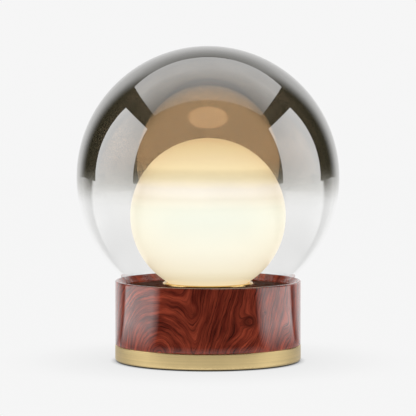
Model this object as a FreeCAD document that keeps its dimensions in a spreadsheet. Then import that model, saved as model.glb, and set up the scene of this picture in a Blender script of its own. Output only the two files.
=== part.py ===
"""Cordless globe table lamp.

A smoked glass globe stands over a glowing opal globe, on a turned wood collar with a brass foot.
The lamp stands on the XY plane with its axis on Z. The charging socket and the button are at its back, +Y.
All sizes are in millimetres. Every driving size is a cell of the spreadsheet "Sizes", and each sub-part
is bound to those cells by expressions. Each sub-part is written to parts/LABEL.step.
"""

import FreeCAD, Part
import math
import os

import Sketcher

Vector = FreeCAD.Vector

# ---------------------------------------------------------------- driving sizes

DRIVING_SIZES = {
    # screws: shank and head radius, head height, and the hex socket's corner radius and depth
    "m4_shank": 2,
    "m4_head": 3.5,
    "m4_head_height": 3.8,
    "m4_socket": 1.73,
    "m4_socket_depth": 2.2,
    "m3_shank": 1.45,
    "m3_head": 2.8,
    "m3_head_height": 1.8,
    "m3_socket": 1.15,
    "m3_socket_depth": 1.1,
    "m2_shank": 1.2,
    "m2_head": 2.2,
    "m2_head_height": 1.4,
    "m2_socket": 0.9,
    "m2_socket_depth": 0.8,
    "screw_gap": 0.25,
    # outer, smoked globe
    "globe_radius": 125,
    "globe_height": 175,
    "globe_wall": 2.6,
    "globe_neck": 80,
    "globe_blend": 20,
    "globe_low": 66.2,
    # inner, opal globe
    "opal_radius": 74,
    "opal_height": 138.4,
    "opal_wall": 3,
    "opal_neck": 36.5,
    "opal_blend": 6,
    "opal_low": 68,
    # brass foot
    "base_radius": 88.5,
    "foot_low": 1,
    "foot_high": 16,
    "foot_floor": 4,
    "foot_bore": 72,
    "foot_round": 2,
    "foot_top_round": 0.8,
    "pad_radius": 84,
    "pad_bore": 74,
    "pad_height": 2,
    "pad_gap": 0.1,
    # screws that hold the foot to the wood, and their inserts
    "foot_screw_circle": 79,
    "foot_screws": 4,
    "foot_screw_low": 2.4,
    "foot_screw_length": 20.8,
    "insert_bore": 2.06,
    "insert_radius": 3.2,
    "insert_length": 12,
    # turned wood collar
    "wood_high": 77,
    "wood_round": 1.2,
    "wood_chamfer": 0.6,
    "bevel_radius": 86,
    "bevel_low": 71.5,
    "recess_radius": 82,
    "recess_floor": 64.5,
    "deck_radius": 67,
    "deck_thickness": 3,
    "wood_bore": 58,
    # gasket under the smoked globe
    "gasket_bore": 76.2,
    "gasket_radius": 81.7,
    "gasket_thickness": 1.4,
    "gasket_lip_bore": 80.6,
    "gasket_high": 70.2,
    # gallery, which holds the opal globe
    "gallery_radius": 40.4,
    "gallery_bore": 38.8,
    "gallery_floor": 2,
    "gallery_hole": 9,
    "rim_radius": 43.4,
    "rim_low": 72,
    "rim_high": 75.1,
    "rim_mouth": 39.9,
    "rim_lead": 2,
    "sleeve_bore": 36.9,
    "sleeve_radius": 38.6,
    "sleeve_high": 71.5,
    "sleeve_lip_bore": 34,
    "sleeve_lip": 1.1,
    # light source inside the opal globe
    "post_foot_radius": 17,
    "post_foot": 3,
    "post_radius": 7,
    "post_bore": 3.2,
    "post_head_low": 97,
    "post_head_high": 101,
    "post_head_radius": 17,
    "post_seat_radius": 18.6,
    "fin_low": 73,
    "fin_radius": 15.5,
    "fin_thickness": 1.2,
    "fins": 12,
    "led_board_radius": 16.5,
    "led_board_thickness": 1.4,
    "led_board_bore": 2.6,
    "led_side": 3,
    "led_thickness": 0.8,
    "led_circle": 10.6,
    "leds": 12,
    "dome_wall": 1.4,
    "dome_straight": 105,
    "post_screw_circle": 13,
    "post_screws": 3,
    # deck and its fixings
    "deck_screw_circle": 62.5,
    "deck_screws": 4,
    "deck_hole": 6,
    "grommet_bore": 3.4,
    "grommet_flange": 7.5,
    "grommet_lip": 1.2,
    # control board under the deck
    "board_length": 72,
    "board_width": 56,
    "board_thickness": 1.6,
    "board_low": 44,
    "board_hole_x": 32,
    "board_hole_y": 22,
    "standoff_corner": 3.1,
    # battery
    "cell_radius": 9.2,
    "cell_length": 65,
    "cell_spacing": 20,
    "cell_count": 4,
    "tray_floor": 2,
    "tray_length": 72,
    "tray_width": 80,
    "tray_wall": 2.6,
    "tray_high": 14,
    "clamp_width": 20,
    "clamp_thickness": 1.5,
    "clamp_leg": 41,
    "clamp_reach": 52,
    "clamp_screw": 47.5,
    # controls in the back of the collar
    "panel_height": 45,
    "panel_length": 59.4,
    "panel_width": 25.4,
    "panel_radius": 88.3,
    "panel_thickness": 1.9,
    "rebate_gap": 0.3,
    "rebate_floor": 77.5,
    "carrier_screw_seat": 79.7,
    "carrier_back": 60,
    "carrier_length": 46,
    "carrier_width": 17,
    "carrier_screw": 26.2,
    "control_offset": 12,
    "button_radius": 6.1,
    "button_face": 89.4,
    "button_flange": 6.9,
    "button_flange_back": 82.2,
    "button_flange_front": 83.8,
    "button_stem": 2,
    "button_stem_back": 76.4,
    "button_gap": 0.25,
    "button_well": 7.4,
    "well_back": 68.8,
    "lead_passage": 4,
    "switch_board_thickness": 1.2,
    "switch_side": 6,
    "switch_depth": 3.5,
    "spring_radius": 5.6,
    "spring_wire": 0.3,
    "spring_turns": 6,
    "usb_length": 8.94,
    "usb_width": 3.26,
    "usb_wall": 0.35,
    "usb_front": 86.2,
    "usb_back": 75.5,
    "usb_gap": 0.25,
    "usb_floor": 1.5,
    "usb_board_left": -2,
    "usb_board_length": 20.6,
    "usb_board_thickness": 0.8,
    "light_radius": 1,
    # leads
    "power_lead": 0.8,
    "signal_lead": 0.55,
    "lead_rise": 3,
}

# ---------------------------------------------------------------- sizes that carry their expression


class Size:
    """A number together with the expression that gives it from the spreadsheet."""

    def __init__(self, expression, value):
        self.expression = expression
        self.value = value

    def _with(self, sign, other, value):
        return Size(f"({self.expression} {sign} {expression_of(other)})", value)

    def __add__(self, other):
        return self._with("+", other, self.value + value_of(other))

    def __sub__(self, other):
        return self._with("-", other, self.value - value_of(other))

    def __mul__(self, other):
        return self._with("*", other, self.value * value_of(other))

    def __truediv__(self, other):
        return self._with("/", other, self.value / value_of(other))

    def __radd__(self, other):
        return Size(f"({other} + {self.expression})", other + self.value)

    def __rsub__(self, other):
        return Size(f"({other} - {self.expression})", other - self.value)

    def __rmul__(self, other):
        return Size(f"({other} * {self.expression})", other * self.value)

    def __neg__(self):
        return Size(f"(-1 * {self.expression})", -self.value)

    def root(self):
        return Size(f"sqrt({self.expression})", math.sqrt(self.value))


def value_of(size):
    return size.value if isinstance(size, Size) else size


def expression_of(size):
    return size.expression if isinstance(size, Size) else str(size)


class Cells:
    """The cells of the spreadsheet, by alias."""


def make_sheet(document):
    """Writes the driving sizes to the spreadsheet and returns them as Size attributes."""
    sheet = document.addObject("Spreadsheet::Sheet", "Sizes")
    cells = Cells()
    for row, (alias, number) in enumerate(DRIVING_SIZES.items(), start=1):
        sheet.set(f"A{row}", alias)
        sheet.set(f"B{row}", str(number))
        sheet.setAlias(f"B{row}", alias)
        setattr(cells, alias, Size(f"Sizes.{alias}", float(number)))
    document.recompute()
    return cells


doc = FreeCAD.newDocument("GlobeLamp")
size = make_sheet(doc)
subparts = []

# ---------------------------------------------------------------- helpers for bodies and sketches

UPRIGHT = FreeCAD.Rotation()
TOWARDS_BACK = FreeCAD.Rotation(Vector(1, 0, 0), -90)


def bind(thing, path, amount):
    """Sets one property path of a feature from a size."""
    if isinstance(amount, Size):
        thing.setExpression(path, amount.expression)


def new_body(label):
    body = doc.addObject("PartDesign::Body", "Body_" + label)
    body.Label = label
    subparts.append(body)
    return body


def origin_feature(body, role):
    return next(f for f in body.Origin.OriginFeatures if f.Role == role)


def new_sketch(body, plane="XZ_Plane", lift=0):
    """A sketch on one of the body's own planes, lifted along that plane's normal."""
    sketch = body.newObject("Sketcher::SketchObject", "Sketch")
    sketch.AttachmentSupport = [(origin_feature(body, plane), "")]
    sketch.MapMode = "FlatFace"
    sketch.AttachmentOffset = FreeCAD.Placement(Vector(0, 0, value_of(lift)), UPRIGHT)
    bind(sketch, "AttachmentOffset.Base.z", lift)
    return sketch


def pin_distance(sketch, kind, geometry, vertex, amount):
    """Fixes one coordinate of a vertex, measured from the sketch's origin."""
    number = value_of(amount)
    if abs(number) < 1e-9:
        axis = -2 if kind == "DistanceX" else -1
        sketch.addConstraint(Sketcher.Constraint("PointOnObject", geometry, vertex, axis))
        return
    if number > 0:
        constraint = Sketcher.Constraint(kind, -1, 1, geometry, vertex, number)
    else:
        constraint = Sketcher.Constraint(kind, geometry, vertex, -1, 1, -number)
        amount = -amount
    index = sketch.addConstraint(constraint)
    bind(sketch, f"Constraints[{index}]", amount)


def pin_vertex(sketch, geometry, vertex, point):
    pin_distance(sketch, "DistanceX", geometry, vertex, point[0])
    pin_distance(sketch, "DistanceY", geometry, vertex, point[1])


def pin_radius(sketch, geometry, radius):
    index = sketch.addConstraint(Sketcher.Constraint("Radius", geometry, value_of(radius)))
    bind(sketch, f"Constraints[{index}]", radius)


def arc_between(start, end, radius, turn):
    """The arc of this radius from start to end. turn is 1 for anticlockwise and -1 for clockwise."""
    chord = end - start
    half = chord.Length / 2
    sag = math.sqrt(max(radius * radius - half * half, 0))
    side = Vector(-chord.y, chord.x, 0).normalize() * turn
    centre = (start + end) / 2 + side * sag
    first, last = (start, end) if turn > 0 else (end, start)
    angles = [math.atan2(p.y - centre.y, p.x - centre.x) for p in (first, last)]
    circle = Part.Circle(centre, Vector(0, 0, 1), radius)
    return Part.ArcOfCircle(circle, angles[0], angles[1])


def draw_outline(sketch, corners):
    """A closed outline. A corner is (x, y), or (x, y, radius, turn) where an arc ends there.

    An arc turns through less than 180 degrees.
    """
    points = [Vector(value_of(c[0]), value_of(c[1]), 0) for c in corners]
    ends = []
    for i, corner in enumerate(corners):
        start, end = points[i - 1], points[i]
        if len(corner) == 4:
            number = sketch.addGeometry(arc_between(start, end, value_of(corner[2]), corner[3]))
            ends.append((number, 1, 2) if corner[3] > 0 else (number, 2, 1))
        else:
            number = sketch.addGeometry(Part.LineSegment(start, end))
            ends.append((number, 1, 2))
    for i, corner in enumerate(corners):
        number, _, last = ends[i]
        following, first, _ = ends[(i + 1) % len(ends)]
        sketch.addConstraint(Sketcher.Constraint("Coincident", number, last, following, first))
        pin_vertex(sketch, number, last, corner)
        if len(corner) == 4:
            pin_radius(sketch, number, corner[2])


def draw_slot(sketch, x, y, length, width):
    """A slot with round ends, centred on (x, y) and lying along the sketch's x."""
    radius = width / 2
    reach = (length - width) / 2
    left, right = x - reach, x + reach
    r, yv = radius.value, value_of(y)
    normal = Vector(0, 0, 1)
    right_circle = Part.Circle(Vector(right.value, yv, 0), normal, r)
    left_circle = Part.Circle(Vector(left.value, yv, 0), normal, r)
    near = sketch.addGeometry(Part.ArcOfCircle(right_circle, -math.pi / 2, math.pi / 2))
    top = sketch.addGeometry(
        Part.LineSegment(Vector(right.value, yv + r, 0), Vector(left.value, yv + r, 0))
    )
    far = sketch.addGeometry(Part.ArcOfCircle(left_circle, math.pi / 2, 3 * math.pi / 2))
    low = sketch.addGeometry(
        Part.LineSegment(Vector(left.value, yv - r, 0), Vector(right.value, yv - r, 0))
    )
    for first, second in ((near, top), (top, far), (far, low), (low, near)):
        sketch.addConstraint(Sketcher.Constraint("Tangent", first, 2, second, 1))
    pin_vertex(sketch, near, 3, (right, y))
    pin_vertex(sketch, far, 3, (left, y))
    pin_radius(sketch, near, radius)


def revolve(body, corners, kind="PartDesign::Revolution", axis_x=None):
    """Turns an outline about the lamp's axis, or about an upright line at axis_x."""
    sketch = new_sketch(body)
    draw_outline(sketch, corners)
    axis = "V_Axis"
    if axis_x is not None:
        x = value_of(axis_x)
        line = sketch.addGeometry(Part.LineSegment(Vector(x, 0, 0), Vector(x, 10, 0)), True)
        pin_vertex(sketch, line, 1, (axis_x, 0))
        pin_vertex(sketch, line, 2, (axis_x, 10))
        axis = "Axis0"
    feature = body.newObject(kind, kind.split("::")[1])
    feature.Profile = sketch
    feature.ReferenceAxis = (sketch, [axis])
    feature.Angle = 360
    doc.recompute()
    return feature


def lathe(label, corners):
    """A sub-part turned about the lamp's axis."""
    body = new_body(label)
    revolve(body, corners)
    return body


def primitive(body, kind, measures, at, direction=UPRIGHT):
    """A PartDesign primitive placed in the lamp's frame."""
    feature = body.newObject("PartDesign::" + kind, kind)
    feature.AttachmentSupport = [(origin_feature(body, "XY_Plane"), "")]
    feature.MapMode = "FlatFace"
    place = Vector(*[value_of(c) for c in at])
    feature.AttachmentOffset = FreeCAD.Placement(place, direction)
    for letter, amount in zip("xyz", at, strict=True):
        bind(feature, "AttachmentOffset.Base." + letter, amount)
    for name, amount in measures.items():
        setattr(feature, name, value_of(amount))
        bind(feature, name, amount)
    doc.recompute()
    return feature


def drill(body, radius, depth, at, direction=UPRIGHT):
    return primitive(body, "SubtractiveCylinder", {"Radius": radius, "Height": depth}, at, direction)


def hex_socket(body, corner, depth, at, direction=UPRIGHT):
    measures = {"Polygon": 6, "Circumradius": corner, "Height": depth}
    return primitive(body, "SubtractivePrism", measures, at, direction)


def add_rod(body, radius, length, at, direction=UPRIGHT):
    return primitive(body, "AdditiveCylinder", {"Radius": radius, "Height": length}, at, direction)


def add_box(body, length, width, height, at):
    measures = {"Length": length, "Width": width, "Height": height}
    return primitive(body, "AdditiveBox", measures, at)


def cut_box(body, length, width, height, at):
    measures = {"Length": length, "Width": width, "Height": height}
    return primitive(body, "SubtractiveBox", measures, at)


def around(body, feature, count):
    """Repeats the feature just made about the lamp's axis."""
    pattern = body.newObject("PartDesign::PolarPattern", "PolarPattern")
    pattern.Originals = [feature]
    pattern.Axis = (origin_feature(body, "Z_Axis"), [""])
    pattern.Angle = 360
    pattern.Occurrences = int(value_of(count))
    bind(pattern, "Occurrences", count)
    body.Tip = pattern
    doc.recompute()


def in_line(body, feature, role, length, count):
    """Repeats features along one of the body's axes, over this whole length."""
    pattern = body.newObject("PartDesign::LinearPattern", "LinearPattern")
    pattern.Originals = [feature]
    pattern.Direction = (origin_feature(body, role), [""])
    pattern.Length = value_of(length)
    bind(pattern, "Length", length)
    pattern.Occurrences = int(value_of(count))
    bind(pattern, "Occurrences", count)
    body.Tip = pattern
    doc.recompute()
    return pattern


def slot_prism(body, kind, back, front, length, width, x=0):
    """Adds or cuts a slot-shaped prism along Y, from back to front, at the rear panel's height."""
    middle = (back + front) / 2
    sketch = new_sketch(body, "XZ_Plane", -middle)
    draw_slot(sketch, x, size.panel_height, length, width)
    feature = body.newObject("PartDesign::" + kind, kind)
    feature.Profile = sketch
    feature.Length = value_of(front - back)
    bind(feature, "Length", front - back)
    feature.SideType = "Symmetric"
    doc.recompute()
    return feature


# ---------------------------------------------------------------- the two glass globes


def blown_globe(label, radius, height, wall, neck, blend, low):
    """A hollow globe that curves through a blend into a short straight neck with a fire-polished lip."""
    reach = neck + blend
    drop = ((radius + blend) * (radius + blend) - reach * reach).root()
    blend_height = height - drop
    share = radius / (radius + blend)
    inner_share = (radius - wall) / (radius + blend)
    lip = wall / 2
    return lathe(
        label,
        [
            (0, height + radius - wall, radius - wall, 1),
            (0, height + radius),
            (reach * share, height - drop * share, radius, -1),
            (neck, blend_height, blend, 1),
            (neck, low + lip),
            (neck - lip, low, lip, -1),
            (neck - wall, low + lip, lip, -1),
            (neck - wall, blend_height),
            (reach * inner_share, height - drop * inner_share, blend + wall, -1),
        ],
    )


def make_smoked_globe():
    return blown_globe(
        "smoked_globe",
        size.globe_radius,
        size.globe_height,
        size.globe_wall,
        size.globe_neck,
        size.globe_blend,
        size.globe_low,
    )


def make_opal_globe():
    return blown_globe(
        "opal_globe",
        size.opal_radius,
        size.opal_height,
        size.opal_wall,
        size.opal_neck,
        size.opal_blend,
        size.opal_low,
    )


# ---------------------------------------------------------------- foot


def make_foot_pad():
    chamfer = size.pad_height / 5
    return lathe(
        "foot_pad",
        [
            (size.pad_bore, chamfer),
            (size.pad_bore + chamfer, 0),
            (size.pad_radius - chamfer, 0),
            (size.pad_radius, chamfer),
            (size.pad_radius, size.pad_height),
            (size.pad_bore, size.pad_height),
        ],
    )


def foot_head_high():
    return size.foot_screw_low + size.m4_head_height


def make_foot_pan():
    """The brass foot: a heavy rim round a thin floor, with a groove for the pad under the screw heads."""
    groove_bore = size.pad_bore - size.pad_gap
    groove_radius = size.pad_radius + size.pad_gap
    floor_high = size.foot_low + size.foot_floor
    body = lathe(
        "foot_pan",
        [
            (0, size.foot_low),
            (groove_bore, size.foot_low),
            (groove_bore, size.pad_height),
            (groove_radius, size.pad_height),
            (groove_radius, size.foot_low),
            (size.base_radius - size.foot_round, size.foot_low),
            (size.base_radius, size.foot_low + size.foot_round, size.foot_round, 1),
            (size.base_radius, size.foot_high - size.foot_top_round),
            (size.base_radius - size.foot_top_round, size.foot_high, size.foot_top_round, 1),
            (size.foot_bore, size.foot_high),
            (size.foot_bore, floor_high),
            (0, floor_high),
        ],
    )
    gap = size.screw_gap
    axis = size.foot_screw_circle
    head_depth = foot_head_high() - size.pad_height
    head_hole = drill(body, size.m4_head + gap, head_depth, (axis, 0, size.pad_height))
    around(body, head_hole, size.foot_screws)
    shank_hole = drill(body, size.m4_shank + gap, size.foot_high, (axis, 0, 0))
    around(body, shank_hole, size.foot_screws)
    thread_depth = 2.8
    for side in (1, -1):
        at = (0, size.clamp_screw * side, floor_high - thread_depth)
        drill(body, size.m3_shank + 0.05, thread_depth, at)
    return body


def make_foot_screws():
    """Socket head screws that pull the foot up against the wood."""
    body = new_body("foot_screws")
    axis = size.foot_screw_circle
    low = size.foot_screw_low
    tip = foot_head_high() + size.foot_screw_length
    screw = revolve(
        body,
        [
            (axis, low),
            (axis + size.m4_head, low),
            (axis + size.m4_head, foot_head_high()),
            (axis + size.m4_shank, foot_head_high()),
            (axis + size.m4_shank, tip),
            (axis, tip),
        ],
        axis_x=axis,
    )
    around(body, screw, size.foot_screws)
    socket = hex_socket(body, size.m4_socket, size.m4_socket_depth, (axis, 0, low))
    around(body, socket, size.foot_screws)
    return body


def make_wood_inserts():
    """Threaded brass inserts with a flange and two grip grooves, one for each foot screw."""
    body = new_body("wood_inserts")
    axis = size.foot_screw_circle
    radius = size.insert_radius
    groove = 0.4
    low = size.foot_high + 0.2
    high = low + size.insert_length
    third = size.insert_length / 3
    insert = revolve(
        body,
        [
            (axis + size.insert_bore, low),
            (axis + radius, low),
            (axis + radius, low + third - groove),
            (axis + radius - groove, low + third),
            (axis + radius, low + third + groove),
            (axis + radius, low + third * 2 - groove),
            (axis + radius - groove, low + third * 2),
            (axis + radius, low + third * 2 + groove),
            (axis + radius, high),
            (axis + size.insert_bore, high),
        ],
        axis_x=axis,
    )
    around(body, insert, size.foot_screws)
    return body


# ---------------------------------------------------------------- wood collar and what it carries


def make_wood_collar():
    """The turned collar: a bevelled mouth, a recess for the globe's neck, a deck ledge and a rear opening."""
    ledge = size.recess_floor - size.deck_thickness
    deck_seat = size.deck_radius + size.rebate_gap
    radius = size.base_radius
    body = lathe(
        "wood_collar",
        [
            (size.wood_bore, size.foot_high),
            (radius - size.wood_chamfer, size.foot_high),
            (radius, size.foot_high + size.wood_chamfer),
            (radius, size.wood_high - size.wood_round),
            (radius - size.wood_round, size.wood_high, size.wood_round, 1),
            (size.bevel_radius, size.wood_high),
            (size.recess_radius, size.bevel_low),
            (size.recess_radius, size.recess_floor),
            (deck_seat, size.recess_floor),
            (deck_seat, ledge),
            (size.wood_bore, ledge),
        ],
    )
    insert_hole = drill(
        body,
        size.insert_radius + 0.05,
        size.insert_length + 1,
        (size.foot_screw_circle, 0, size.foot_high),
    )
    around(body, insert_hole, size.foot_screws)
    pilot_radius = size.m3_shank + 0.1
    pilot_depth = 6.5
    at = (size.deck_screw_circle, 0, ledge - pilot_depth)
    pilot = drill(body, pilot_radius, pilot_depth, at)
    around(body, pilot, size.deck_screws)
    gap = size.rebate_gap * 2
    slot_prism(
        body,
        "Pocket",
        size.rebate_floor,
        size.base_radius + 5,
        size.panel_length + gap,
        size.panel_width + gap,
    )
    slot_prism(
        body,
        "Pocket",
        size.carrier_back - 20,
        size.rebate_floor + 1,
        size.carrier_length + gap,
        size.carrier_width + gap,
    )
    for side in (1, -1):
        at = (size.carrier_screw * side, size.rebate_floor - 8, size.panel_height)
        drill(body, size.m2_shank + 0.1, 9, at, TOWARDS_BACK)
    return body


def make_deck_plate():
    low = size.recess_floor - size.deck_thickness
    body = new_body("deck_plate")
    add_rod(body, size.deck_radius, size.deck_thickness, (0, 0, low))
    drill(body, size.deck_hole, size.deck_thickness, (0, 0, low))
    hole_radius = size.m3_shank + 0.15
    screw_hole = drill(body, hole_radius, size.deck_thickness, (size.deck_screw_circle, 0, low))
    around(body, screw_hole, size.deck_screws)
    sink = 1.6
    countersink = primitive(
        body,
        "SubtractiveCone",
        {"Radius1": hole_radius, "Radius2": hole_radius + sink, "Height": sink},
        (size.deck_screw_circle, 0, size.recess_floor - sink),
    )
    around(body, countersink, size.deck_screws)
    thread = size.m3_shank + 0.05
    post_hole = drill(body, thread, size.deck_thickness, (size.post_screw_circle, 0, low))
    around(body, post_hole, size.post_screws)
    return body


def make_deck_screws():
    """Countersunk screws that hold the deck on the wood's ledge."""
    body = new_body("deck_screws")
    axis = size.deck_screw_circle
    top = size.recess_floor - 0.05
    sink, edge, length = 1.45, 0.15, 9
    shank = axis + size.m3_shank
    screw = revolve(
        body,
        [
            (axis, top),
            (axis, top - length),
            (shank, top - length + size.m3_shank),
            (shank, top - sink - edge),
            (shank + sink, top - edge),
            (shank + sink, top),
        ],
        axis_x=axis,
    )
    around(body, screw, size.deck_screws)
    depth = size.m3_socket_depth
    socket = hex_socket(body, size.m3_socket, depth, (axis, 0, top - depth))
    around(body, socket, size.deck_screws)
    return body


def make_globe_gasket():
    """A soft ring with an L section that seats and centres the smoked globe's neck."""
    floor = size.recess_floor + size.gasket_thickness
    return lathe(
        "globe_gasket",
        [
            (size.gasket_bore, size.recess_floor),
            (size.gasket_radius, size.recess_floor),
            (size.gasket_radius, size.gasket_high),
            (size.gasket_lip_bore, size.gasket_high),
            (size.gasket_lip_bore, floor),
            (size.gasket_bore, floor),
        ],
    )


def make_gallery_ring():
    """The turned brass cup that holds the opal globe, with a rounded rim."""
    low = size.recess_floor
    nose = (size.rim_high - size.rim_low) / 2
    middle = size.rim_low + nose
    body = lathe(
        "gallery_ring",
        [
            (size.gallery_hole, low),
            (size.gallery_radius, low),
            (size.gallery_radius, size.rim_low),
            (size.rim_radius - nose, size.rim_low),
            (size.rim_radius, middle, nose, 1),
            (size.rim_radius - nose, size.rim_high, nose, 1),
            (size.rim_mouth, size.rim_high),
            (size.gallery_bore, size.rim_high - size.rim_lead),
            (size.gallery_bore, low + size.gallery_floor),
            (size.gallery_hole, low + size.gallery_floor),
        ],
    )
    radius = size.m3_shank + size.screw_gap
    hole = drill(body, radius, size.gallery_floor, (size.post_screw_circle, 0, low))
    around(body, hole, size.post_screws)
    return body


def make_gallery_sleeve():
    """The silicone sleeve that grips the opal globe's neck."""
    low = size.recess_floor + size.gallery_floor
    lip = low + size.sleeve_lip
    return lathe(
        "gallery_sleeve",
        [
            (size.sleeve_lip_bore, low),
            (size.sleeve_radius, low),
            (size.sleeve_radius, size.sleeve_high),
            (size.sleeve_bore, size.sleeve_high),
            (size.sleeve_bore, lip),
            (size.sleeve_lip_bore, lip),
        ],
    )


def make_deck_grommet():
    """The rubber bush that protects the leads where they pass the deck."""
    top = size.recess_floor
    low = top - size.deck_thickness
    body_radius = size.deck_hole - 0.05
    return lathe(
        "deck_grommet",
        [
            (size.grommet_bore, low - size.grommet_lip),
            (size.grommet_flange, low - size.grommet_lip),
            (size.grommet_flange, low),
            (body_radius, low),
            (body_radius, top),
            (size.grommet_flange, top),
            (size.grommet_flange, top + size.grommet_lip),
            (size.grommet_bore, top + size.grommet_lip),
        ],
    )


# ---------------------------------------------------------------- light source


def post_low():
    return size.recess_floor + size.gallery_floor


def make_led_post():
    """The aluminium post that carries the light source and spreads its heat through a ring of fins."""
    low = post_low()
    head_step = size.post_head_low + 1
    body = lathe(
        "led_post",
        [
            (size.post_bore, low),
            (size.post_foot_radius, low),
            (size.post_foot_radius, low + size.post_foot),
            (size.post_radius, low + size.post_foot),
            (size.post_radius, size.post_head_low),
            (size.post_seat_radius, size.post_head_low),
            (size.post_seat_radius, head_step),
            (size.post_head_radius, head_step),
            (size.post_head_radius, size.post_head_high),
            (size.post_bore, size.post_head_high),
        ],
    )
    bite = 0.5
    fin_start = size.post_radius - bite
    fin = add_box(
        body,
        size.fin_radius - fin_start,
        size.fin_thickness,
        size.post_head_low - size.fin_low,
        (fin_start, size.fin_thickness / -2, size.fin_low),
    )
    around(body, fin, size.fins)
    radius = size.m3_shank + size.screw_gap
    hole = drill(body, radius, size.post_foot, (size.post_screw_circle, 0, low))
    around(body, hole, size.post_screws)
    return body


def make_post_screws():
    """Button head screws through the post's foot and the gallery into the deck."""
    body = new_body("post_screws")
    axis = size.post_screw_circle
    head_low = post_low() + size.post_foot
    head_high = head_low + size.m3_head_height
    tip = post_low() - size.gallery_floor - size.deck_thickness
    crown = size.m3_head - 1.2
    screw = revolve(
        body,
        [
            (axis, tip),
            (axis + size.m3_shank, tip),
            (axis + size.m3_shank, head_low),
            (axis + size.m3_head, head_low),
            (axis + size.m3_head, head_high - 1.2),
            (axis + crown, head_high, size.m3_head_height, 1),
            (axis, head_high),
        ],
        axis_x=axis,
    )
    around(body, screw, size.post_screws)
    depth = size.m3_socket_depth
    socket = hex_socket(body, size.m3_socket, depth, (axis, 0, head_high - depth))
    around(body, socket, size.post_screws)
    return body


def make_led_board():
    body = new_body("led_board")
    at = (0, 0, size.post_head_high)
    add_rod(body, size.led_board_radius, size.led_board_thickness, at)
    drill(body, size.led_board_bore, size.led_board_thickness, at)
    return body


def make_led_chips():
    """A ring of light emitting chips on the board."""
    body = new_body("led_chips")
    half = size.led_side / 2
    high = size.post_head_high + size.led_board_thickness
    chip = add_box(
        body,
        size.led_side,
        size.led_side,
        size.led_thickness,
        (size.led_circle - half, half * -1, high),
    )
    around(body, chip, size.leds)
    return body


def make_led_dome():
    """The frosted cap over the chips."""
    wall = size.dome_wall
    outer = size.post_seat_radius
    low = size.post_head_low + 1
    top = size.dome_straight + outer
    return lathe(
        "led_dome",
        [
            (outer - wall, low),
            (outer, low),
            (outer, size.dome_straight),
            (0, top, outer, 1),
            (0, top - wall),
            (outer - wall, size.dome_straight, outer - wall, -1),
        ],
    )


# ---------------------------------------------------------------- battery and electronics


def floor_high():
    return size.foot_low + size.foot_floor


def make_battery_tray():
    """A shallow tray with end walls that stops the cells from sliding."""
    body = new_body("battery_tray")
    low = floor_high()
    half_length = size.tray_length / 2
    half_width = size.tray_width / 2
    corner = (half_length * -1, half_width * -1, low)
    add_box(body, size.tray_length, size.tray_width, size.tray_floor, corner)
    add_box(body, size.tray_wall, size.tray_width, size.tray_high - low, corner)
    far = (half_length - size.tray_wall, half_width * -1, low)
    add_box(body, size.tray_wall, size.tray_width, size.tray_high - low, far)
    return body


def cell_height():
    return floor_high() + size.tray_floor + 0.1 + size.cell_radius


def first_cell():
    return (size.cell_count - 1) * size.cell_spacing / -2


def make_battery_cells():
    """Cylindrical lithium cells side by side, each with its raised end."""
    body = new_body("battery_cells")
    along = FreeCAD.Rotation(Vector(0, 1, 0), 90)
    half = size.cell_length / 2
    height = cell_height()
    y = first_cell()
    can = add_rod(body, size.cell_radius, size.cell_length, (half * -1, y, height), along)
    in_line(body, can, "Y_Axis", (size.cell_count - 1) * size.cell_spacing, size.cell_count)
    return body


def make_battery_tabs():
    """Nickel strips that join the cells at both ends."""
    body = new_body("battery_tabs")
    thickness = 0.3
    half = size.cell_length / 2
    width = (size.cell_count - 1) * size.cell_spacing + 12
    for x in (half + 0.05, half * -1 - thickness - 0.05):
        add_box(body, thickness, width, 8, (x, width / -2, cell_height() - 1))
    return body


def make_battery_clamp():
    """A steel strap over the cells, with a foot at each end screwed to the brass floor."""
    body = new_body("battery_clamp")
    half = size.clamp_width / 2
    low = floor_high()
    high = cell_height() + size.cell_radius + 0.2
    plate = size.clamp_thickness
    leg = size.clamp_leg
    sketch = new_sketch(body, "YZ_Plane")
    draw_outline(
        sketch,
        [
            (size.clamp_reach * -1, low),
            (leg * -1, low),
            (leg * -1, high),
            (leg, high),
            (leg, low),
            (size.clamp_reach, low),
            (size.clamp_reach, low + plate),
            (leg + plate, low + plate),
            (leg + plate, high + plate),
            (leg * -1 - plate, high + plate),
            (leg * -1 - plate, low + plate),
            (size.clamp_reach * -1, low + plate),
        ],
    )
    pad = body.newObject("PartDesign::Pad", "Pad")
    pad.Profile = sketch
    pad.Length = size.clamp_width.value
    bind(pad, "Length", half * 2)
    pad.SideType = "Symmetric"
    doc.recompute()
    for side in (1, -1):
        drill(body, size.m3_shank + 0.15, plate, (0, size.clamp_screw * side, low))
    return body


def make_clamp_screws():
    body = new_body("clamp_screws")
    low = floor_high() + size.clamp_thickness
    length = 4
    depth = size.m3_socket_depth
    for side in (1, -1):
        y = size.clamp_screw * side
        add_rod(body, size.m3_shank, length, (0, y, low - length))
        add_rod(body, size.m3_head, size.m3_head_height, (0, y, low))
        hex_socket(body, size.m3_socket, depth, (0, y, low + size.m3_head_height - depth))
    return body


def board_high():
    return size.board_low + size.board_thickness


def board_corners():
    return [(size.board_hole_x * i, size.board_hole_y * j) for i in (1, -1) for j in (1, -1)]


def make_control_board():
    body = new_body("control_board")
    corner = (size.board_length / -2, size.board_width / -2, size.board_low)
    add_box(body, size.board_length, size.board_width, size.board_thickness, corner)
    for x, y in board_corners():
        drill(body, size.m2_shank + 0.15, size.board_thickness, (x, y, size.board_low))
    return body


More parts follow.
